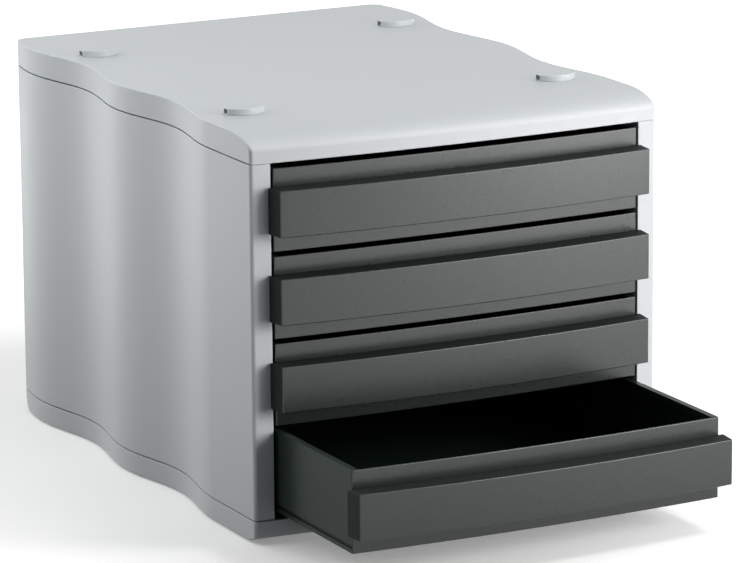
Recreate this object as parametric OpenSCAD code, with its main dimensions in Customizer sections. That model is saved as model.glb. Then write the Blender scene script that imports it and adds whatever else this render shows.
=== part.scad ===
// Desk cabinet with wavy sides and stacked letter-size drawers.
// Millimetres, +Z up, +Y to the rear, drawers open towards -Y.
// It stands on its feet at z = 0, and the origin is below the middle of
// its bounding box with the bottom drawer pulled out as it is at rest.

/* [Casing] */
// Width across the front
case_w = 280; // [260:1:320]
// Depth from the front corners to the rear
case_d = 368; // [350:1:400]
// How far the whole front is bowed out in its middle
front_bow = 5.3; // [0:0.1:8]
// Height of the base shell
base_h = 14; // [13:0.5:20]
// Height of the cover shell
cover_h = 16.5; // [16:0.5:24]
// Thickness of the shells, side walls and rear panel
wall = 2.2; // [1.8:0.1:2.4]
// Width of the front flange of a side wall
flange_w = 13; // [13:0.5:16]
// Thickness of the runner panels
runner_t = 2; // [1.6:0.1:2]

/* [Wavy sides] */
// Straight stretch behind the front edge
wave_start = 59; // [45:1:65]
// Length of one wave
wave_len = 134; // [125:1:145]
// Depth of the hollows
wave_in = 8.6; // [2:0.1:8.6]

/* [Shell edges] */
// Depth of the cover's rounded nose
nose_d = 34; // [12:1:40]
// Height of the cover's rounded nose
nose_h = 9; // [6:0.5:12]
// Depth of the bevel under the base's front edge
toe_d = 10; // [4:1:14]
// Height of the bevel under the base's front edge
toe_h = 3.3; // [1:0.1:5]
// Radius under the base's rear edge
heel_r = 11; // [4:1:12]

/* [Drawers] */
// Height of a drawer's front plate
plate_h = 51.2; // [46:0.1:60]
// Gap between two front plates
plate_gap = 2.8; // [2:0.1:4]
// Gap under the bottom drawer
under_gap = 4.7; // [3:0.1:6]
// Gap over the top drawer
over_gap = 3.3; // [2:0.1:6]
// Gap beside a front plate
side_gap = 1.5; // [1.2:0.1:2]
// Thickness of a front plate
plate_t = 2.6; // [2:0.1:3]
// How far a closed front plate stands ahead of the casing
plate_out = 1.2; // [0.8:0.1:2]
// Height of the grip band
band_h = 28.6; // [20:0.1:32]
// How far the grip band stands out from its plate at its ends
band_out = 12.5; // [8:0.5:16]
// How much more the grip band is bowed than its plate
band_bow = 2.3; // [0:0.1:4]
// How far the band reaches past the opening on each side
band_lap = 2; // [1:0.1:4]
// Draft of each end of the band
band_draft = 0.9; // [0:0.1:2]
// Length of a drawer tray
tray_l = 340; // [300:1:340]
// Thickness of a tray's side walls
tray_wall = 2.6; // [2:0.1:3]
// Thickness of a tray's floor
tray_floor = 2.4; // [2:0.1:3]
// Travel of a drawer from closed to its stop
travel = 240; // [150:1:250]
// How far the bottom drawer stands open at rest
open_by = 101; // [0:1:150]

/* [Studs and feet] */
// Width of a stacking stud
stud_w = 25; // [18:1:30]
// Length of a stud from its straight rear edge
stud_l = 12.5; // [10:0.5:14]
// Height of a stud above the cover
stud_h = 4; // [3:0.5:5]
// Distance of the studs from the middle
stud_x = 109; // [90:1:112]
// Rear edge of the front studs
stud_front = 75; // [60:0.5:85]
// Rear edge of the rear studs
stud_rear = 293; // [250:1:300]
// Radius of a foot
foot_r = 7; // [5:0.5:9]
// How far the feet stand out below the base
foot_h = 1; // [0.5:0.1:2]

/* [Hidden] */

$fn = 48;
arc_step = 7.5;
case_grey = [0.72, 0.75, 0.76];
drawer_grey = [0.25, 0.26, 0.26];
foot_black = [0.1, 0.1, 0.1];
left = -1;
right = 1;
drawers = 4;
cut = 1;

// Heights
base_top = foot_h + base_h;
side_h = under_gap + drawers * plate_h + (drawers - 1) * plate_gap + over_gap;
cover_z = base_top + side_h;
top_z = cover_z + cover_h;

// The opening, and the rest pose's reach, which sets the origin
opening_x = case_w / 2 - flange_w;
runner_x = opening_x + runner_t;
reach = open_by + plate_out + band_out + front_bow + band_bow;
middle_y = (case_d - reach) / 2;

// Ribs and hooks that hold the casing together
rib_t = 1.6;
rib_h = 6;
cross_ribs = 2;
hook_t = 1.6;
hook_w = 12;
hook_l = 14;
hook_gap = 0.3;
barb_z = 10.6;
barb_h = 2.4;
barb_in = 1.2;
window_gap = 0.4;
hook_ys = [30, wave_start + wave_len, wave_start + 2 * wave_len];

// Drawer runners: a tongue on the runner panel in a groove of the tray
tray_x = opening_x - side_gap - 0.2;
tray_y = plate_t - plate_out;
groove_z = 2.6;
groove_h = 2.3;
groove_d = 1.9;
slide_gap = 0.3;
bead_w = 4;
bead_h = 4;
front_wall = 2;
stop_l = 6;
stop_h = 6;
stop_z = 38;
stop_out = 1.2;
stop_rear = 10;

// Pegs of a drawer front, and stems of studs and feet
peg_r = 2;
peg_gap = 0.05;
stem_r = 4;
boss_r = 6.5;
foot_stem_r = 3;
foot_x = 116;
foot_ys = [24, case_d - 28];

// Half the casing's width at a depth: straight, then a cosine wave
function half_w(y) = y < wave_start ? case_w / 2
    : case_w / 2 - wave_in / 2 * (1 - cos(360 * (y - wave_start) / wave_len));

plan_step = wave_len / 24;
plan_ys = concat([0], [for (y = [wave_start : plan_step : case_d - 1]) y], [case_d]);

// The bowed front: how far it lies ahead of the corners, and places along it
function bow_y(x) = -front_bow * (1 - pow(2 * x / case_w, 2));
bow_xs = [for (k = [-13 : 13]) k * case_w / 28];
wide_xs = concat([-case_w / 2], bow_xs, [case_w / 2]);
touch_xs = [-112, -56, 0, 56, 112];
far = 500;

function drawer_z(i) = base_top + under_gap + (drawers - i) * (plate_h + plate_gap);

module placed() translate([0, -middle_y, 0]) children();

// Casing outline seen from above, drawn in by the inset on every side
module plan(inset) {
    edge = [for (y = plan_ys)
        [half_w(y) - inset, min(max(y, inset), case_d - inset)]];
    count = len(edge);
    polygon(concat(edge, [for (k = [1 : count]) [-edge[count - k][0], edge[count - k][1]]],
        [for (x = bow_xs) [x, inset + bow_y(x)]]));
}

// A side profile, drawn as (y, z), wider than the casing
module across() rotate([90, 0, 90]) linear_extrude(4 * case_w, center = true) children();

// The profile of a front, drawn as (y, z), led along the bowed front: what is
// left behind straight ones that touch it at some places
module along_front() intersection_for (x = touch_xs)
    translate([x, bow_y(x), 0]) rotate([0, 0, atan(8 * front_bow * x / pow(case_w, 2))])
        across() children();

module box(low, high) translate(low) cube(high - low);

// The same box on both sides of the middle plane
module both(low, high) for (s = [0, 1]) mirror([s, 0, 0]) box(low, high);

// Cover and base: the plan, cut to a side profile. An inner body reaches past
// the open side, so that it hollows the outer one cleanly.
function past(inset) = inset > 0 ? cut : 0;

module cover_profile(inset) polygon(concat(
    [[inset, cover_z - past(inset)]],
    [for (a = [0 : arc_step : 90]) [nose_d - (nose_d - inset) * cos(a),
        top_z - nose_h + (nose_h - inset) * sin(a)]],
    [[far, top_z - inset], [far, cover_z - past(inset)]]));

module cover_body(inset) intersection() {
    translate([0, 0, cover_z - past(inset)]) linear_extrude(cover_h + past(inset)) plan(inset);
    along_front() cover_profile(inset);
}

module toe_profile(inset) polygon([[inset, base_top + past(inset)],
    [inset, foot_h + toe_h + inset / 2], [toe_d, foot_h + inset],
    [far, foot_h + inset], [far, base_top + past(inset)]]);

module heel_profile(inset) polygon(concat(
    [[-far, base_top + past(inset)], [-far, foot_h + inset]],
    [for (a = [0 : arc_step : 90]) [case_d - heel_r + (heel_r - inset) * sin(a),
        foot_h + heel_r - (heel_r - inset) * cos(a)]],
    [[case_d - inset, base_top + past(inset)]]));

module base_body(inset) intersection() {
    translate([0, 0, foot_h]) linear_extrude(base_h + past(inset)) plan(inset);
    along_front() toe_profile(inset);
    across() heel_profile(inset);
}

// Ribs inside a shell, from its skin at deck_z: two long ones that carry the
// runner panels, from low_z to high_z, and low ones across, by rise mm
module ribs(low_z, high_z, deck_z, rise) {
    both([opening_x, wall, low_z], [runner_x, case_d - wall, high_z]);
    for (k = [1 : cross_ribs]) let (y = k * case_d / (cross_ribs + 1))
        box([-runner_x, y - rib_t / 2, min(deck_z, deck_z + rise)],
            [runner_x, y + rib_t / 2, max(deck_z, deck_z + rise)]);
}

// A hook on a shell, from its seam (z = 0) up into the side wall, with a
// barb that catches in a window of the runner panel
module hook(y) {
    arm_x = runner_x + hook_gap;
    both([opening_x, y - hook_w / 2, -rib_h], [arm_x + hook_t, y + hook_w / 2, -hook_gap]);
    both([arm_x, y - hook_w / 2, -hook_gap - cut], [arm_x + hook_t, y + hook_w / 2, hook_l]);
    both([runner_x - barb_in, y - hook_w / 2, barb_z],
        [arm_x + hook_t / 2, y + hook_w / 2, barb_z + barb_h]);
}

// A stud's outline: straight rear edge, short straight ends, curved front
module stud_outline(grow) {
    end_l = 5;
    bow = stud_l - end_l;
    arc_r = (pow(stud_w / 2, 2) + pow(bow, 2)) / (2 * bow);
    intersection() {
        translate([0, arc_r - stud_l]) circle(arc_r + grow, $fn = 96);
        translate([-stud_w / 2 - grow, -stud_l - grow])
            square([stud_w + 2 * grow, stud_l + 2 * grow]);
    }
}

module at_studs() for (s = [left, right], y = [stud_front, stud_rear])
    translate([s * stud_x, y, 0]) children();

module at_feet() for (s = [left, right], y = foot_ys) translate([s * foot_x, y, 0]) children();

module cover() color(case_grey) placed() difference() {
    union() {
        difference() {
            cover_body(0);
            cover_body(wall);
        }
        intersection() {
            cover_body(wall / 2);
            union() {
                ribs(cover_z, top_z, top_z, -wall - rib_h);
                at_studs() translate([0, -stud_l / 2, top_z - wall - rib_h])
                    cylinder(r = boss_r, h = rib_h + wall);
            }
        }
        translate([0, 0, cover_z]) mirror([0, 0, 1]) for (y = hook_ys) hook(y);
    }
    at_studs() translate([0, -stud_l / 2, cover_z]) cylinder(r = stem_r, h = cover_h + cut);
}

module base() color(case_grey) placed() difference() {
    union() {
        difference() {
            base_body(0);
            base_body(wall);
        }
        intersection() {
            base_body(wall / 2);
            ribs(foot_h, base_top, foot_h, wall + rib_h);
        }
        translate([0, 0, base_top]) for (y = hook_ys) hook(y);
    }
    // Sockets for the studs of a cabinet underneath
    at_studs() translate([0, 0, foot_h - cut]) linear_extrude(wall + 2 * cut) stud_outline(0.8);
    at_feet() translate([0, 0, foot_h - cut]) cylinder(r = foot_stem_r, h = wall + 2 * cut);
}

// A side wall: wavy skin with a flange in front and behind, ribs inside
module side_wall(side) color(case_grey) placed() mirror([side == left ? 1 : 0, 0, 0]) {
    intersection() {
        translate([0, 0, base_top]) linear_extrude(side_h) difference() {
            plan(0);
            plan(wall);
        }
        box([opening_x, -front_bow, base_top], [case_w / 2 + cut, case_d, cover_z]);
    }
    intersection() {
        translate([0, 0, base_top]) linear_extrude(side_h) plan(wall / 2);
        for (k = [0 : 3]) let (y = wave_start + (k + 0.5) * wave_len / 2)
            box([runner_x, y - rib_t / 2, base_top], [case_w / 2, y + rib_t / 2, cover_z]);
    }
}

module rear_panel() color(case_grey) placed() {
    box([-opening_x, case_d - wall, base_top], [opening_x, case_d, cover_z]);
    for (i = [1 : drawers]) let (z = drawer_z(i) + plate_h / 2)
        box([-opening_x + rib_h, case_d - wall - rib_h, z - rib_t / 2],
            [opening_x - rib_h, case_d - wall + cut, z + rib_t / 2]);
}

// A runner panel: a tongue and a stop for each drawer, windows for the barbs
module runner_panel(side) color(case_grey) placed() mirror([side == left ? 1 : 0, 0, 0]) {
    tongue_in = side_gap + 0.2 + groove_d - slide_gap;
    stop_face = tray_y + tray_l - stop_rear - travel - slide_gap;
    difference() {
        box([opening_x, wall, base_top], [runner_x, case_d - wall, cover_z]);
        for (y = hook_ys, z = [base_top + barb_z - window_gap,
                cover_z - barb_z - barb_h - window_gap])
            box([opening_x - cut, y - hook_w / 2 - window_gap, z],
                [runner_x + cut, y + hook_w / 2 + window_gap, z + barb_h + 2 * window_gap]);
    }
    for (i = [1 : drawers]) translate([0, 0, drawer_z(i)]) {
        box([opening_x - tongue_in, wall + rib_h, groove_z + slide_gap],
            [opening_x + cut, case_d - wall - 2 * rib_h, groove_z + groove_h - slide_gap]);
        box([opening_x - stop_out, stop_face - stop_l, stop_z],
            [opening_x + cut, stop_face, stop_z + stop_h]);
    }
}

// A stacking stud at a corner: side is left or right, y its rear edge
module stud(side, y) color(case_grey) placed() translate([side * stud_x, y, top_z]) {
    rim = 0.8;
    linear_extrude(stud_h - rim) stud_outline(0);
    linear_extrude(stud_h) stud_outline(-rim);
    translate([0, -stud_l / 2, -wall - rib_h]) cylinder(r = stem_r - peg_gap, h = wall + rib_h + cut);
}

module foot(side, y) color(foot_black) placed() translate([side * foot_x, y, 0]) {
    cylinder(r = foot_r, h = foot_h);
    cylinder(r = foot_stem_r - peg_gap, h = foot_h + wall);
}

// Moves a drawer's pieces to its level, and the bottom one out
module drawer_place(i)
    translate([0, -middle_y - (i == drawers ? open_by : 0), drawer_z(i)]) children();

module at_pegs() for (s = [left, right], z = [6, plate_h - 8])
    translate([s * (tray_x - 14), bow_y(tray_x - 14), z]) rotate([-90, 0, 0]) children();

// A block between two y, with its front face bowed by extra mm more than the
// casing's front, and its rear face bowed like it or flat
module bowed(half_x, low_y, high_y, low_z, high_z, extra = 0, flat = false) intersection() {
    translate([0, 0, low_z]) linear_extrude(high_z - low_z) polygon(concat(
        [for (x = wide_xs)
            [x, low_y + bow_y(x) - extra * (1 - pow(x / (opening_x + band_lap), 2))]],
        [for (x = wide_xs) [-x, high_y + (flat ? 0 : bow_y(x))]]));
    box([-half_x, low_y - 2 * (front_bow + extra) - cut, low_z - cut],
        [half_x, high_y + cut, high_z + cut]);
}

module drawer_tray(i) color(drawer_grey) drawer_place(i) difference() {
    tray_end = tray_y + tray_l;
    inner_x = tray_x - tray_wall;
    inner_y = tray_y + front_wall;
    inner_end = tray_end - tray_wall;
    union() {
        difference() {
            bowed(tray_x, tray_y, tray_end, 0, plate_h, 0, true);
            bowed(inner_x, inner_y, inner_end, tray_floor, plate_h + cut, 0, true);
        }
        // Beads along the top and the foot of the side walls
        both([tray_x - bead_w, inner_y - 2 * cut, plate_h - bead_h],
            [inner_x + cut, inner_end + cut, plate_h]);
        both([tray_x - bead_w, inner_y - 2 * cut, tray_floor - cut],
            [inner_x + cut, inner_end + cut, groove_z + groove_h + tray_wall]);
        // Bumps that meet the stops on the runner panels
        both([tray_x - cut, tray_end - stop_rear, stop_z],
            [tray_x + stop_out, tray_end - stop_rear + stop_l, stop_z + stop_h]);
    }
    both([tray_x - groove_d, tray_y - front_bow, groove_z],
        [tray_x + cut, tray_end + cut, groove_z + groove_h]);
    box([-inner_x, tray_y - front_bow - cut, plate_h - front_wall],
        [inner_x, inner_y + cut, plate_h + cut]);
    at_pegs() cylinder(r = peg_r + peg_gap, h = tray_y + front_wall + cut);
}

// A drawer front: plate, hollow grip band open to the rear, and pegs
module drawer_front(i) color(drawer_grey) drawer_place(i) {
    plate_x = opening_x - side_gap;
    band_x = opening_x + band_lap;
    band_z = (plate_h - band_h) / 2;
    end_y = bow_y(band_x) - plate_out;
    skin = 2.2;
    hollow_x = plate_x - skin;
    difference() {
        union() {
            bowed(plate_x, -plate_out, tray_y, 0, plate_h);
            intersection() {
                bowed(band_x, -plate_out - band_out, -plate_out, band_z, band_z + band_h, band_bow);
                // The band's ends, drawn in towards the front by their draft
                translate([0, 0, band_z - cut]) linear_extrude(band_h + 2 * cut) polygon([
                    [-band_x, 0], [-band_x, end_y], [-band_x + 2 * band_draft, end_y - 2 * band_out],
                    [band_x - 2 * band_draft, end_y - 2 * band_out], [band_x, end_y], [band_x, 0]]);
            }
        }
        bowed(hollow_x, skin - plate_out - band_out, tray_y + cut, band_z + skin,
            band_z + band_h - skin, band_bow);
    }
    at_pegs() cylinder(r = peg_r, h = tray_y + front_wall);
}

cover();
base();
side_wall(left);  // side_wall_left
side_wall(right);  // side_wall_right
rear_panel();
runner_panel(left);  // runner_panel_left
runner_panel(right);  // runner_panel_right
stud(left, stud_front);  // stud_front_left
stud(right, stud_front);  // stud_front_right
stud(left, stud_rear);  // stud_rear_left
stud(right, stud_rear);  // stud_rear_right
foot(left, foot_ys[0]);  // foot_front_left
foot(right, foot_ys[0]);  // foot_front_right
foot(left, foot_ys[1]);  // foot_rear_left
foot(right, foot_ys[1]);  // foot_rear_right
drawer_tray(1);  // drawer_tray_1
drawer_front(1);  // drawer_front_1
drawer_tray(2);  // drawer_tray_2
drawer_front(2);  // drawer_front_2
drawer_tray(3);  // drawer_tray_3
drawer_front(3);  // drawer_front_3
drawer_tray(4);  // drawer_tray_4
drawer_front(4);  // drawer_front_4
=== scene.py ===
import math

import bmesh
import bpy
from mathutils import Matrix, Vector


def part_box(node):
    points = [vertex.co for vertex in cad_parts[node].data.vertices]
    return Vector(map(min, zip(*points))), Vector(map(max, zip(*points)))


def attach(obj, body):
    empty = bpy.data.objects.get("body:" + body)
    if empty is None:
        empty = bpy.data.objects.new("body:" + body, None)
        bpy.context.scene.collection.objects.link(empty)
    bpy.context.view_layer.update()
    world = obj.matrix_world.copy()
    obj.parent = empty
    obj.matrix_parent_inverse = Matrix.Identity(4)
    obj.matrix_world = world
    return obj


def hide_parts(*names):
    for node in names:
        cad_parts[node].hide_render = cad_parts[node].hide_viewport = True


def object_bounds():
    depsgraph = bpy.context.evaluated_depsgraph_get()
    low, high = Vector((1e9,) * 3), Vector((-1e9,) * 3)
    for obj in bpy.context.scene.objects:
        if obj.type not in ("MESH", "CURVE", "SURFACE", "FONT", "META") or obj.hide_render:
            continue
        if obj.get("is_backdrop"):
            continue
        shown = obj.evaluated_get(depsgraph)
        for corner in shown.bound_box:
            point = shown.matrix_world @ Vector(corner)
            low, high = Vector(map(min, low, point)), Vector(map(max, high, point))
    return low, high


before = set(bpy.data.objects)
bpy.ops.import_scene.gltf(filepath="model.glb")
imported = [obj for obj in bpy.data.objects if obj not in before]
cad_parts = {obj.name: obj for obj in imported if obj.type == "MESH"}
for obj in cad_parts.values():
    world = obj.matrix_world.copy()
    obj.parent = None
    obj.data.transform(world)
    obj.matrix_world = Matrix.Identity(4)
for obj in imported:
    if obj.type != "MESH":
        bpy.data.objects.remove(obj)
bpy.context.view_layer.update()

# Base: a shallow light-grey pan that carries the whole cabinet, one
# injection moulding. Its outline follows the bowed front and the wavy sides,
# and its lower edge is bevelled in front and rounded at the rear.
MM = 0.001
base_low, base_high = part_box("base")
base_bottom, base_seam = base_low.z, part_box("side_wall_left")[0].z
front_bow = 5.3 * MM
case_front, case_rear = base_low.y + front_bow, base_high.y
case_depth, case_half = case_rear - case_front, base_high.x
bow_rear = case_front + 40 * MM
opening_half = 127 * MM
shell_wall, rib_wall = 2.2 * MM, 1.6 * MM
front_corner, rear_corner = 2.2 * MM, 8.5 * MM
wave_start, wave_length, wave_depth, wave_steps = 59 * MM, 134 * MM, 8.6 * MM, 88


def half_width(y):
    """Half the casing's width, y behind its front: straight, then a wave."""
    if y < wave_start:
        return case_half
    return case_half - wave_depth / 2 * (1 - math.cos(math.tau * (y - wave_start) / wave_length))


def quarter(steps):
    """Sine and cosine at even steps over a quarter turn."""
    return [(math.sin(math.pi / 2 * k / steps), math.cos(math.pi / 2 * k / steps))
            for k in range(steps + 1)]


def wave_ys(last):
    """Even steps in y along the wave."""
    return [wave_start + (last - wave_start) * k / wave_steps for k in range(wave_steps)]


def side_line(inset, front_in, rear_in):
    """Points (x, y) round the tight front corner, along the right side, round the wide rear corner."""
    first, last = front_in + front_corner, case_depth - rear_in - rear_corner
    line = [(half_width(first) - inset - front_corner * (1 - s), first - front_corner * c)
            for s, c in quarter(6)]
    line += [(half_width(y) - inset, y) for y in wave_ys(last)]
    line += [(half_width(last) - inset - rear_corner * (1 - c), last + rear_corner * s)
             for s, c in quarter(8)]
    return line


def outline_ring(z, inset=0, front_in=0, rear_in=0):
    """The casing's outline at a height, drawn in from its sides, front and rear."""
    line = side_line(inset, front_in, rear_in)
    line += [(-x, y) for x, y in reversed(line)]
    return [Vector((x, case_front + y, z)) for x, y in line]


def ring_mesh(mesh, rings):
    """Adds a closed skin over a row of rings that have equally many points."""
    made = [[mesh.verts.new(p) for p in ring] for ring in rings]
    count = len(made[0])
    for low, high in zip(made, made[1:]):
        for k in range(count):
            mesh.faces.new((low[k], low[(k + 1) % count], high[(k + 1) % count], high[k]))
    mesh.faces.new(list(reversed(made[0])))
    mesh.faces.new(made[-1])


def block(mesh, low, high, soft=0.0, draft=0.0):
    """Adds a box with rounded edges. Its front is narrower by the draft on each side."""
    corners = [mesh.verts.new((x + (draft if y == low[1] else 0) * (1 if x == low[0] else -1), y, z))
               for x in (low[0], high[0]) for y in (low[1], high[1]) for z in (low[2], high[2])]
    faces = [mesh.faces.new([corners[k] for k in face]) for face in
             ((0, 1, 3, 2), (4, 6, 7, 5), (0, 4, 5, 1), (2, 3, 7, 6), (0, 2, 6, 4), (1, 5, 7, 3))]
    if soft:
        edges = list(dict.fromkeys(edge for face in faces for edge in face.edges))
        bmesh.ops.bevel(mesh, geom=edges, offset=soft, segments=3, profile=0.5, affect="EDGES")


slice_step, slices_each_way, slice_weld = 10 * MM, 12, 0.01 * MM


def slice_up(mesh):
    """Cuts a mesh's faces at even steps across, so that they can follow a bow."""
    for k in range(-slices_each_way, slices_each_way + 1):
        everything = mesh.verts[:] + mesh.edges[:] + mesh.faces[:]
        bmesh.ops.bisect_plane(mesh, geom=everything, dist=slice_weld,
                               plane_co=(k * slice_step, 0, 0), plane_no=(1, 0, 0))


def bow_out(mesh, behind=math.inf):
    """Bows what lies ahead of a plane forward in its middle, like the whole front."""
    slice_up(mesh)
    for vert in mesh.verts:
        if vert.co.y < behind:
            vert.co.y -= front_bow * (1 - (vert.co.x / case_half) ** 2)


def settle_faces(mesh):
    """Orders a mesh's faces by their corners, because rounding leaves them in no fixed order."""
    mesh.verts.index_update()
    ordered = sorted(mesh.faces, key=lambda face: sorted(vert.index for vert in face.verts))
    for place, face in enumerate(ordered):
        face.index = place
    mesh.faces.sort()


def piece(name, node, mesh, material, body="casing"):
    """Makes a piece that stands for a CAD node and rides on a body."""
    bmesh.ops.recalc_face_normals(mesh, faces=mesh.faces)
    settle_faces(mesh)
    data = bpy.data.meshes.new(name)
    mesh.to_mesh(data)
    mesh.free()
    data.shade_smooth()
    data.set_sharp_from_angle(angle=math.radians(35))
    made = bpy.data.objects.new(name, data)
    bpy.context.scene.collection.objects.link(made)
    data.materials.append(material)
    flats = made.modifiers.new("flat_faces", "WEIGHTED_NORMAL")
    flats.keep_sharp = True
    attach(made, body)
    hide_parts(node)


def grain_group():
    """Fine spark-eroded grain, and the soft mottle of a large moulding."""
    tree = bpy.data.node_groups.new("moulded_grain", "ShaderNodeTree")
    for label, value in (("Grain per metre", 2600.0), ("Mottle per metre", 18.0)):
        socket = tree.interface.new_socket(label, in_out="INPUT", socket_type="NodeSocketFloat")
        socket.default_value = value
    for label in ("Grain", "Mottle"):
        tree.interface.new_socket(label, in_out="OUTPUT", socket_type="NodeSocketFloat")
    nodes, links = tree.nodes, tree.links
    inlet, outlet = nodes.new("NodeGroupInput"), nodes.new("NodeGroupOutput")
    place = nodes.new("ShaderNodeTexCoord")
    for label, detail in (("Grain", 2.0), ("Mottle", 3.0)):
        noise = nodes.new("ShaderNodeTexNoise")
        noise.inputs["Detail"].default_value = detail
        links.new(place.outputs["Object"], noise.inputs["Vector"])
        links.new(inlet.outputs[label + " per metre"], noise.inputs["Scale"])
        links.new(noise.outputs["Fac"], outlet.inputs[label])
    return tree


moulded_grain = grain_group()


def satin_plastic(name, dark, light, rough, grain_depth, grain=2600.0, mottle=18.0):
    """Satin plastic: two close tones and two roughnesses by mottle, and a fine grain."""
    material = bpy.data.materials.new(name)
    material.use_nodes = True
    nodes, links = material.node_tree.nodes, material.node_tree.links
    shader = nodes["Principled BSDF"]
    shader.inputs["IOR"].default_value = 1.5
    texture = nodes.new("ShaderNodeGroup")
    texture.node_tree = moulded_grain
    texture.inputs["Grain per metre"].default_value = grain
    texture.inputs["Mottle per metre"].default_value = mottle
    tone = nodes.new("ShaderNodeMix")
    tone.data_type = "RGBA"
    tone.inputs["A"].default_value = (*dark, 1)
    tone.inputs["B"].default_value = (*light, 1)
    links.new(texture.outputs["Mottle"], tone.inputs["Factor"])
    links.new(tone.outputs["Result"], shader.inputs["Base Color"])
    satin = nodes.new("ShaderNodeMapRange")
    satin.inputs["To Min"].default_value, satin.inputs["To Max"].default_value = rough
    links.new(texture.outputs["Mottle"], satin.inputs["Value"])
    links.new(satin.outputs["Result"], shader.inputs["Roughness"])
    bump = nodes.new("ShaderNodeBump")
    bump.inputs["Strength"].default_value = 0.5
    bump.inputs["Distance"].default_value = grain_depth
    links.new(texture.outputs["Grain"], bump.inputs["Height"])
    links.new(bump.outputs["Normal"], shader.inputs["Normal"])
    return material


casing_grey = satin_plastic("casing_grey", (0.537, 0.572, 0.586), (0.577, 0.609, 0.623),
                            (0.34, 0.46), 0.02 * MM)
seam_round, seam_width, base_seam_front = 0.2 * MM, 0.46 * MM, 0.9
seam_turn, seam_blend = 0.4 * MM, 1 * MM


def away_from_seam(ring, away, front):
    """Opens half a seam along a ring, in front by its own share of the width."""
    for point in ring:
        share = min(1, max(0, (point.y - case_front - seam_turn) / seam_blend))
        point.z += away * seam_width * (front + (1 - front) * share)
    return ring


def lip_rings(seam, outward, front):
    """Rings over a shell's lip at a seam, from its inner wall to its outer one."""
    rings = [outline_ring(seam, shell_wall, shell_wall, shell_wall)]
    for s, c in quarter(3):
        inset = seam_round * (1 - s)
        rings.append(outline_ring(seam - outward * seam_round * (1 - c), inset, inset, inset))
    return [away_from_seam(ring, -outward, front) for ring in rings]


toe_run, toe_rise, heel, skirt_edge = 10 * MM, 3.3 * MM, 11 * MM, 0.8 * MM
inner_toe_rise, inner_heel_in, inner_heel_rise = toe_rise + 1.2 * MM, 5 * MM, 9 * MM


def base_ring(rise):
    """The base's outline at a rise over its underside."""
    front_in = toe_run * max(0, 1 - rise / toe_rise)
    rear_in = heel - math.sqrt(heel ** 2 - max(0, heel - rise) ** 2)
    inset = skirt_edge - math.sqrt(skirt_edge ** 2 - max(0, skirt_edge - rise) ** 2)
    return outline_ring(base_bottom + rise, inset, front_in, rear_in)


def round_rises(radius, steps):
    """The rises at which a rounded lower edge has its points."""
    return {radius * (1 - s) for s, c in quarter(steps)}


base_mesh = bmesh.new()
pan = [outline_ring(base_bottom + shell_wall, shell_wall, toe_run, heel),
       outline_ring(base_bottom + inner_toe_rise, shell_wall, shell_wall, inner_heel_in),
       outline_ring(base_bottom + inner_heel_rise, shell_wall, shell_wall, shell_wall)]
skirt = sorted(round_rises(heel, 8) | {toe_rise} | round_rises(skirt_edge, 3), reverse=True)
ring_mesh(base_mesh, pan + lip_rings(base_seam, 1, base_seam_front) + [base_ring(rise) for rise in skirt])

corners = ("front_left", "front_right", "rear_left", "rear_right")
stud_half, stud_end, stud_length, stud_corner = 12.5 * MM, 6 * MM, 12.5 * MM, 0.5 * MM
socket_room, cut_past = 0.8 * MM, 2 * MM


def stud_spot(corner):
    """The middle of a stud's rear edge, seen from above."""
    low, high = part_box("stud_" + corner)
    return (low.x + high.x) / 2, high.y


def stud_line(grow):
    """A stud seen from above, grown all round: straight rear edge, short ends, curved front."""
    bow = stud_length - stud_end
    radius = (stud_half ** 2 + bow ** 2) / (2 * bow)
    spread = math.asin(stud_half / radius)
    turns = [spread * (k / 8 - 1) for k in range(17)]
    line = [((radius + grow) * math.sin(a), radius - stud_length - (radius + grow) * math.cos(a))
            for a in turns]
    line += [(stud_half + grow - stud_corner * (1 - c), grow - stud_corner * (1 - s)) for s, c in quarter(3)]
    line += [(-stud_half - grow + stud_corner * (1 - s), grow - stud_corner * (1 - c)) for s, c in quarter(3)]
    return line


def stud_shape(mesh, x, y, levels):
    """Adds a closed stud shape at a spot. Each level is a height and its growth."""
    ring_mesh(mesh, [[Vector((x + u, y + v, z)) for u, v in stud_line(grow)] for z, grow in levels])


def cut_out(mesh, cutters):
    """Takes closed cutter meshes out of a mesh and returns the rest."""
    parts = []
    for name, source in (("whole", mesh), ("cutters", cutters)):
        bmesh.ops.recalc_face_normals(source, faces=source.faces)
        data = bpy.data.meshes.new(name)
        source.to_mesh(data)
        source.free()
        parts.append(bpy.data.objects.new(name, data))
        bpy.context.scene.collection.objects.link(parts[-1])
    cut = parts[0].modifiers.new("cut", "BOOLEAN")
    cut.operation, cut.solver, cut.object = "DIFFERENCE", "EXACT", parts[1]
    rest = bmesh.new()
    rest.from_object(parts[0], bpy.context.evaluated_depsgraph_get())
    for part in parts:
        bpy.data.objects.remove(part)
    return rest


socket_mesh = bmesh.new()
for corner in corners:
    stud_shape(socket_mesh, *stud_spot(corner), [(base_bottom - cut_past, socket_room),
                                                 (base_bottom + shell_wall + cut_past, socket_room)])
base_mesh = cut_out(base_mesh, socket_mesh)
side_rib_wall, side_rib_end, cross_rib_depth = 2 * MM, 3 * MM, 8.2 * MM


def stiffen(mesh, front, side_low, side_high, cross_low, cross_high):
    """Adds a shell's inner ribs: one along each side, and two across at thirds of the depth."""
    for side in (-1, 1):
        x = sorted((side * opening_half, side * (opening_half + side_rib_wall)))
        block(mesh, (x[0], front, side_low), (x[1], case_rear - side_rib_end, side_high))
    for share in (1 / 3, 2 / 3):
        y = case_front + case_depth * share
        block(mesh, (-opening_half, y - rib_wall / 2, cross_low),
              (opening_half, y + rib_wall / 2, cross_high))


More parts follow.
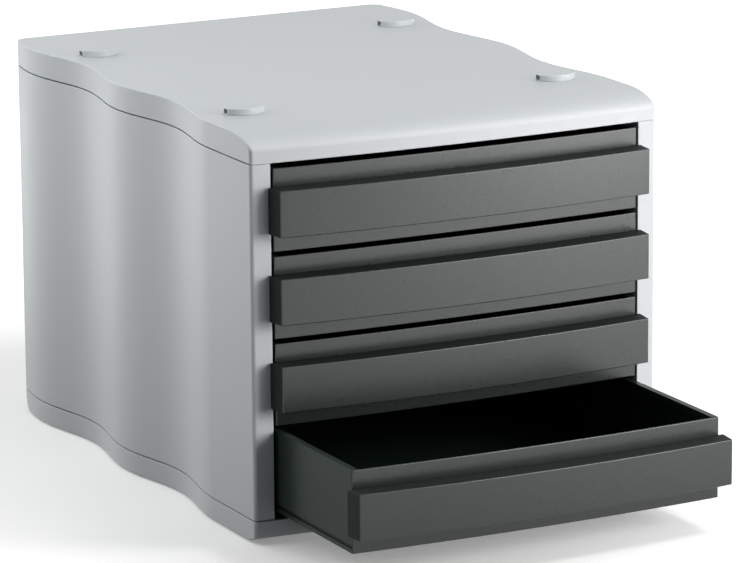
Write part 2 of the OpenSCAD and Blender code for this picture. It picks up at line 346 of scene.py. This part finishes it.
base_floor = base_bottom + shell_wall
stiffen(base_mesh, case_front + toe_run, base_floor, base_seam - seam_width,
        base_floor, base_bottom + cross_rib_depth)
bow_out(base_mesh, bow_rear)
piece("base_pan", "base", base_mesh, casing_grey)

# Feet: four black rubber pads pushed into holes in the base. They carry the
# cabinet and keep it from sliding.
foot_rubber = satin_plastic("foot_rubber", (0.018, 0.018, 0.018), (0.032, 0.032, 0.032),
                            (0.75, 0.9), 0.03 * MM, 1800.0, 60.0)


def give_material(node, material):
    """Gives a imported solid, which already has its shape, its material."""
    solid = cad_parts[node]
    solid.data.materials.clear()
    solid.data.materials.append(material)


for corner in corners:
    give_material("foot_" + corner, foot_rubber)

# Side walls: thin wavy skins with a flange at the front and at the rear. Each
# is one tall moulding that stands in the base's seam and holds the cover.
flange_edge, rear_flange = 0.5 * MM, 16 * MM
cover_seam, cover_seam_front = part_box("side_wall_left")[1].z, 0.2


def wall_ring(z, inset, side):
    """A side wall's section at a height, with its outer face drawn in."""
    line = [(opening_half + flange_edge * (1 - c), inset + flange_edge * (1 - s)) for s, c in quarter(3)]
    line += side_line(inset, inset, inset)
    line += [(opening_half, case_depth - inset), (opening_half, case_depth - shell_wall)]
    line += [(half_width(y) - shell_wall, y) for y in reversed(wave_ys(case_depth - rear_flange))]
    line += [(case_half - shell_wall, shell_wall), (opening_half, shell_wall)]
    return [Vector((side * x, case_front + y, z)) for x, y in line]


seam_rounds = [(seam_round * (1 - c), seam_round * (1 - s)) for s, c in quarter(3)]
for name, side in (("side_wall_left", -1), ("side_wall_right", 1)):
    wall_mesh = bmesh.new()
    foot = [away_from_seam(wall_ring(base_seam + up, inset, side), 1, base_seam_front)
            for up, inset in seam_rounds]
    head = [away_from_seam(wall_ring(cover_seam - down, inset, side), -1, cover_seam_front)
            for down, inset in reversed(seam_rounds)]
    ring_mesh(wall_mesh, foot + head)
    bow_out(wall_mesh, bow_rear)
    piece(name + "_skin", name, wall_mesh, casing_grey)

# Rear panel: a flat plate that snaps in between the side walls' rear flanges,
# with ribs on its inner face against drumming.
rear_low, rear_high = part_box("rear_panel")
rear_inner = case_rear - shell_wall
panel_gap, panel_edge = 0.2 * MM, 0.4 * MM
drum_rib_half, drum_rib_edge = 121 * MM, 0.3 * MM
drawer_numbers = (1, 2, 3, 4)

rear_mesh = bmesh.new()
block(rear_mesh, (rear_low.x + panel_gap, rear_inner, rear_low.z + panel_gap),
      (rear_high.x - panel_gap, case_rear, rear_high.z - panel_gap), panel_edge)
for number in drawer_numbers:
    low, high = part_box(f"drawer_tray_{number}")
    z = (low.z + high.z) / 2
    block(rear_mesh, (-drum_rib_half, rear_low.y, z - rib_wall / 2),
          (drum_rib_half, rear_inner, z + rib_wall / 2), drum_rib_edge)
piece("rear_plate", "rear_panel", rear_mesh, casing_grey)

# Runner panels: plain inner walls with a tongue and a stop for each drawer,
# seen only past open drawers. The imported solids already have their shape.
for name in ("runner_panel_left", "runner_panel_right"):
    give_material(name, casing_grey)

# Cover: the casing's top shell. Its front rises straight from the seam and
# turns over in a long rounded nose, and its sides follow the wave.
top_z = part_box("cover")[1].z
nose_run, nose_rise, top_edge, flat_in = 34 * MM, 9 * MM, 0.4 * MM, 0.6 * MM
roof_run, roof_rise, roof_z = nose_run - shell_wall, nose_rise - shell_wall, top_z - shell_wall
nose_z = top_z - nose_rise


def cover_ring(z, front_in):
    """The cover's outline at a height, its top edges rounded at the sides and rear."""
    inset = top_edge - math.sqrt(max(0, top_edge ** 2 - max(0, z - top_z + top_edge) ** 2))
    return outline_ring(z, inset, front_in, inset)


cover_mesh = bmesh.new()
roof = [outline_ring(nose_z + roof_rise * s, shell_wall, nose_run - roof_run * c, shell_wall)
        for s, c in reversed(quarter(5))]
nose = [cover_ring(nose_z + nose_rise * s, nose_run * (1 - c)) for s, c in quarter(30)]
flat = outline_ring(top_z, top_edge + flat_in, nose_run + flat_in, top_edge + flat_in)
ring_mesh(cover_mesh, roof + lip_rings(cover_seam, -1, cover_seam_front) + nose + [flat])
stiffen(cover_mesh, case_front + nose_run, cover_seam + seam_width, roof_z, top_z - cross_rib_depth, roof_z)
bow_out(cover_mesh, bow_rear)
piece("cover_shell", "cover", cover_mesh, casing_grey)

# Stacking studs: four half-round plugs pressed into the cover, which fit the
# sockets under the next cabinet. The left end of each has a moulded slot.
stud_top, stud_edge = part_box("stud_front_left")[1].z, 0.5 * MM
groove_in, groove_top, groove_end = 0.25 * MM, 0.15 * MM, 0.35 * MM
slot_left, slot_right, slot_front, slot_rear = 14 * MM, 6 * MM, 5.4 * MM, 0.6 * MM
slot_floor, slot_roof = top_z + 0.5 * MM, stud_top - 0.6 * MM
levels = [(top_z - cut_past, -groove_in), (top_z + groove_top, -groove_in), (top_z + groove_end, 0)]
levels += [(stud_top - stud_edge * (1 - s), -stud_edge * (1 - c)) for s, c in quarter(4)]
for corner in corners:
    x, y = stud_spot(corner)
    stud_mesh, slot_mesh = bmesh.new(), bmesh.new()
    stud_shape(stud_mesh, x, y, levels)
    block(slot_mesh, (x - slot_left, y - slot_front, slot_floor), (x - slot_right, y - slot_rear, slot_roof))
    piece("stacking_stud_" + corner, "stud_" + corner, cut_out(stud_mesh, slot_mesh), casing_grey)

# Drawer trays: four open anthracite boxes for letter-size sheets, each one
# moulding with beaded side walls and a groove along the foot of each side
# that runs on the panel's tongue.
tray_half, tray_wall, tray_floor, tray_front_wall = 125.3 * MM, 2.6 * MM, 2.4 * MM, 2 * MM
bead, bead_slope = 4 * MM, 1 * MM
runner_low, runner_high, runner_in = 2.6 * MM, 4.9 * MM, 1.9 * MM
foot_bead = runner_high + tray_wall
tray_edge, tray_rear_edge, tray_bow_reach = 0.4 * MM, 0.5 * MM, 20 * MM
end_lap, end_in, end_rise = 0.3 * MM, 0.1 * MM, 0.5 * MM
stop_root, stop_out, stop_edge = 1 * MM, 1.2 * MM, 0.3 * MM
stop_front, stop_rear, stop_low, stop_high = 10 * MM, 4 * MM, 38 * MM, 44 * MM
tray_black = satin_plastic("tray_anthracite", (0.012, 0.022, 0.017), (0.016, 0.028, 0.022),
                           (0.28, 0.34), 0.05 * MM, 1300.0, 60.0)
tray_black.node_tree.nodes["Principled BSDF"].inputs["Specular IOR Level"].default_value = 0.13


def tray_section(height):
    """A tray's section (x, z): underside, each side with its groove and its beads, and floor."""
    inner, rim, groove = tray_half - tray_wall, tray_half - bead, tray_half - runner_in
    right = [(tray_half, 0), (tray_half, runner_low), (groove, runner_low), (groove, runner_high),
             (tray_half, runner_high), (tray_half, height), (rim, height), (rim, height - bead),
             (inner, height - bead - bead_slope), (inner, foot_bead + bead_slope), (rim, foot_bead),
             (rim, tray_floor)]
    return right + [(-x, z) for x, z in reversed(right)]


for number in drawer_numbers:
    low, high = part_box(f"drawer_tray_{number}")
    front = low.y + front_bow
    section = tray_section(high.z - low.z)
    tray_mesh = bmesh.new()
    ring_mesh(tray_mesh, [[Vector((x, y, low.z + z)) for x, z in section] for y in (front, high.y)])
    edges = [edge for edge in tray_mesh.edges if edge.calc_face_angle(0) > math.radians(40)]
    bmesh.ops.bevel(tray_mesh, geom=edges, offset=tray_edge, segments=3, profile=0.5, affect="EDGES")
    inner = tray_half - tray_wall + end_lap
    block(tray_mesh, (-inner, front + end_in, low.z + end_rise),
          (inner, front + tray_front_wall, high.z - tray_front_wall), tray_edge)
    bow_out(tray_mesh, front + tray_bow_reach)
    block(tray_mesh, (-inner, high.y - tray_wall, low.z + end_rise),
          (inner, high.y - end_in, high.z), tray_rear_edge)
    for side in (-1, 1):
        x = sorted((side * (tray_half - stop_root), side * (tray_half + stop_out)))
        block(tray_mesh, (x[0], high.y - stop_front, low.z + stop_low),
              (x[1], high.y - stop_rear, low.z + stop_high), stop_edge)
    piece(f"tray_{number}", f"drawer_tray_{number}", tray_mesh, tray_black, f"drawer_{number}")

# Drawer fronts: a plate clipped to each tray, with a grip band that stands
# out over its full width and a little past the opening.
plate_half, front_edge = 125.5 * MM, 0.6 * MM
band_rise, band_foot, band_draft, band_out = 28.6 * MM, 11.3 * MM, 1.7 * MM, 13.4 * MM
band_bow, band_seat = 2.3 * MM, 0.02 * MM
front_black = satin_plastic("front_anthracite", (0.0060, 0.0100, 0.0090), (0.0090, 0.0135, 0.0122),
                            (0.26, 0.30), 0.03 * MM, 1300.0, 260.0)


def edgewise_group():
    """1 on faces that look up, down or sideways, 0 on those that look to the front or rear."""
    tree = bpy.data.node_groups.new("edgewise_faces", "ShaderNodeTree")
    tree.interface.new_socket("Edgewise", in_out="OUTPUT", socket_type="NodeSocketFloat")
    nodes, links = tree.nodes, tree.links
    facing, split, size, edgewise = (nodes.new("ShaderNode" + kind) for kind in
                                     ("NewGeometry", "SeparateXYZ", "Math", "MapRange"))
    size.operation = "ABSOLUTE"
    edgewise.inputs["From Min"].default_value, edgewise.inputs["From Max"].default_value = 0.45, 0.2
    links.new(facing.outputs["Normal"], split.inputs[0])
    links.new(split.outputs["Y"], size.inputs[0])
    links.new(size.outputs[0], edgewise.inputs["Value"])
    links.new(edgewise.outputs["Result"], nodes.new("NodeGroupOutput").inputs["Edgewise"])
    return tree


def dull_ledges(material):
    """Ledges and ends have the mould's coarse texture, so they shine less than the faces."""
    nodes, links = material.node_tree.nodes, material.node_tree.links
    shader = nodes["Principled BSDF"]
    edgewise, shine, coarse = (nodes.new("ShaderNode" + kind) for kind in ("Group", "MapRange", "Math"))
    edgewise.node_tree = edgewise_group()
    shine.inputs["To Min"].default_value, shine.inputs["To Max"].default_value = 0.56, 0.14
    links.new(edgewise.outputs["Edgewise"], shine.inputs["Value"])
    links.new(shine.outputs["Result"], shader.inputs["Specular IOR Level"])
    shader.inputs["Specular Tint"].default_value = (0.97, 1.0, 0.99, 1)
    coarse.operation, coarse.use_clamp = "MULTIPLY_ADD", True
    coarse.inputs[1].default_value = 0.35
    links.new(edgewise.outputs["Edgewise"], coarse.inputs[0])
    links.new(shader.inputs["Roughness"].links[0].from_socket, coarse.inputs[2])
    links.new(coarse.outputs[0], shader.inputs["Roughness"])


dull_ledges(front_black)


def bow_band(mesh, front, back, half):
    """Bows a band's face forward by a little more than the plate behind it."""
    slice_up(mesh)
    for vert in mesh.verts:
        share = min(1, max(0, (back - vert.co.y) / (back - front)))
        vert.co.y -= band_bow * share * max(0, 1 - (vert.co.x / half) ** 2)


for number in drawer_numbers:
    low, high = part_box(f"drawer_front_{number}")
    band_front = low.y + front_bow + band_bow
    plate_front = band_front + band_out
    plate_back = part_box(f"drawer_tray_{number}")[0].y + front_bow
    band_low = low.z + band_foot
    front_mesh = bmesh.new()
    block(front_mesh, (low.x, band_front, band_low), (high.x, plate_front + band_seat, band_low + band_rise),
          front_edge, band_draft)
    bow_band(front_mesh, band_front, plate_front, high.x)
    block(front_mesh, (-plate_half, plate_front, low.z), (plate_half, plate_back, high.z), front_edge)
    bow_out(front_mesh)
    piece(f"front_{number}", f"drawer_front_{number}", front_mesh, front_black, f"drawer_{number}")

# Studio: a white floor that keeps the cabinet's soft shadow, three lights from
# the front right, soft ones on the left and behind it, and two overhead.
floor_half, floor_bounce, floor_white = 12, 0.14, 0.85
shade_middle, shade_from, shade_to, shade_level = (-0.15, 0.1, 0), 0.25, 0.8, 0.22
floor_mesh = bpy.data.meshes.new("studio_floor")
floor_mesh.from_pydata([(-floor_half, -floor_half, 0), (floor_half, -floor_half, 0),
                        (floor_half, floor_half, 0), (-floor_half, floor_half, 0)], [], [(0, 1, 2, 3)])
floor = bpy.data.objects.new("studio_floor", floor_mesh)
bpy.context.scene.collection.objects.link(floor)
floor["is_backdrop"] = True


def background_rays(nodes, links):
    """1 for the rays that see the backdrop: camera, mirror and glass rays."""
    path = nodes.new("ShaderNodeLightPath")
    total = path.outputs["Is Camera Ray"]
    for label in ("Is Glossy Ray", "Is Transmission Ray"):
        add = nodes.new("ShaderNodeMath")
        add.operation, add.use_clamp = "ADD", True
        links.new(total, add.inputs[0])
        links.new(path.outputs[label], add.inputs[1])
        total = add.outputs[0]
    return total


def floor_glow(nodes, links):
    """The floor's own glow on the backdrop's rays: low near the cabinet, white further out."""
    place, reach = nodes.new("ShaderNodeTexCoord"), nodes.new("ShaderNodeVectorMath")
    reach.operation = "DISTANCE"
    reach.inputs[1].default_value = shade_middle
    links.new(place.outputs["Object"], reach.inputs[0])
    spread = nodes.new("ShaderNodeMapRange")
    spread.interpolation_type = "SMOOTHSTEP"
    spread.inputs["From Min"].default_value, spread.inputs["From Max"].default_value = shade_from, shade_to
    spread.inputs["To Min"].default_value, spread.inputs["To Max"].default_value = shade_level, 1.0
    links.new(reach.outputs["Value"], spread.inputs["Value"])
    share, glow = nodes.new("ShaderNodeMath"), nodes.new("ShaderNodeEmission")
    share.operation = "MULTIPLY"
    links.new(background_rays(nodes, links), share.inputs[0])
    links.new(spread.outputs["Result"], share.inputs[1])
    links.new(share.outputs[0], glow.inputs["Strength"])
    return glow.outputs[0]


white_floor = bpy.data.materials.new("white_floor")
white_floor.use_nodes = True
nodes, links = white_floor.node_tree.nodes, white_floor.node_tree.links
matt = nodes["Principled BSDF"]
matt.inputs["Roughness"].default_value = 0.9
matt.inputs["Specular IOR Level"].default_value = 0.1
pale = nodes.new("ShaderNodeMix")
pale.data_type = "RGBA"
pale.inputs["A"].default_value = (floor_bounce, floor_bounce, floor_bounce, 1)
pale.inputs["B"].default_value = (floor_white, floor_white, floor_white, 1)
links.new(background_rays(nodes, links), pale.inputs["Factor"])
links.new(pale.outputs["Result"], matt.inputs["Base Color"])
lit, through = nodes.new("ShaderNodeAddShader"), nodes.new("ShaderNodeMixShader")
geometry, clear = nodes.new("ShaderNodeNewGeometry"), nodes.new("ShaderNodeBsdfTransparent")
links.new(matt.outputs[0], lit.inputs[0])
links.new(floor_glow(nodes, links), lit.inputs[1])
links.new(geometry.outputs["Backfacing"], through.inputs["Fac"])
links.new(lit.outputs[0], through.inputs[1])
links.new(clear.outputs[0], through.inputs[2])
links.new(through.outputs[0], nodes["Material Output"].inputs["Surface"])
floor_mesh.materials.append(white_floor)

world = bpy.data.worlds.new("white_studio")
bpy.context.scene.world = world
world.use_nodes = True
nodes, links = world.node_tree.nodes, world.node_tree.links
fill = nodes["Background"]
fill.inputs["Color"].default_value = (0.97, 0.99, 1.0, 1)
fill.inputs["Strength"].default_value = 0.10
backdrop, either = nodes.new("ShaderNodeBackground"), nodes.new("ShaderNodeMixShader")
links.new(background_rays(nodes, links), either.inputs["Fac"])
links.new(fill.outputs[0], either.inputs[1])
links.new(backdrop.outputs[0], either.inputs[2])
links.new(either.outputs[0], nodes["World Output"].inputs["Surface"])


def soft_light(name, place, aim, width, height, watts, tint=(1, 1, 1)):
    """A rectangular soft light at a place, turned to what it is aimed at."""
    data = bpy.data.lights.new(name, "AREA")
    data.shape, data.size, data.size_y, data.energy, data.color = "RECTANGLE", width, height, watts, tint
    lamp = bpy.data.objects.new(name, data)
    bpy.context.scene.collection.objects.link(lamp)
    lamp.location = place
    lamp.rotation_euler = (Vector(aim) - Vector(place)).to_track_quat("-Z", "Y").to_euler()


drawers, middle, warm = (0.02, -0.1, 0.12), (0, 0.05, 0.12), (1.0, 0.97, 0.965)
soft_light("key_light", (0.62, -0.70, 0.30), drawers, 0.4, 0.5, 2.0, warm)
soft_light("front_light", (0.28, -1.0, 0.30), (-0.02, -0.1, 0.12), 0.35, 0.35, 0.8, warm)
soft_light("far_key_light", (0.75, -1.15, 0.42), drawers, 0.6, 0.7, 12.2, warm)
soft_light("rear_left_light", (-0.7, 1.4, 0.7), middle, 0.9, 0.9, 10.4)
soft_light("left_light", (-0.6, 0.1, 0.45), (-0.1, 0.05, 0.2), 0.4, 0.4, 1.25)
soft_light("overhead_light", (0.1, 0.15, 1.6), middle, 1.4, 1.4, 6.8)
soft_light("edge_light", (0.78, -0.62, 1.5), (0, -0.1, 0.12), 0.35, 0.35, 7.5)

# Camera: level with a person who stands well back, a long lens looking down
# on the cabinet from its front left.
yaw, pitch, roll = (math.radians(a) for a in (27.113, 13.485, 0.453))
stand = Vector((-1.33016, -2.60288, 0.82406))
ahead = Vector((math.sin(yaw) * math.cos(pitch), math.cos(yaw) * math.cos(pitch), -math.sin(pitch)))
right = Vector((math.cos(yaw), -math.sin(yaw), 0))
down = ahead.cross(right)
across = math.cos(roll) * right + math.sin(roll) * down
upward = math.sin(roll) * right - math.cos(roll) * down
camera_data = bpy.data.cameras.new("photo_camera")
camera_data.lens, camera_data.sensor_width, camera_data.clip_end = 229.645, 36, 100
camera = bpy.data.objects.new("photo_camera", camera_data)
bpy.context.scene.collection.objects.link(camera)
camera.matrix_world = Matrix(((across.x, upward.x, -ahead.x, stand.x),
                              (across.y, upward.y, -ahead.y, stand.y),
                              (across.z, upward.z, -ahead.z, stand.z),
                              (0, 0, 0, 1)))
bpy.context.scene.camera = camera
bpy.context.scene.view_settings.view_transform = "Standard"

low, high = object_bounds()
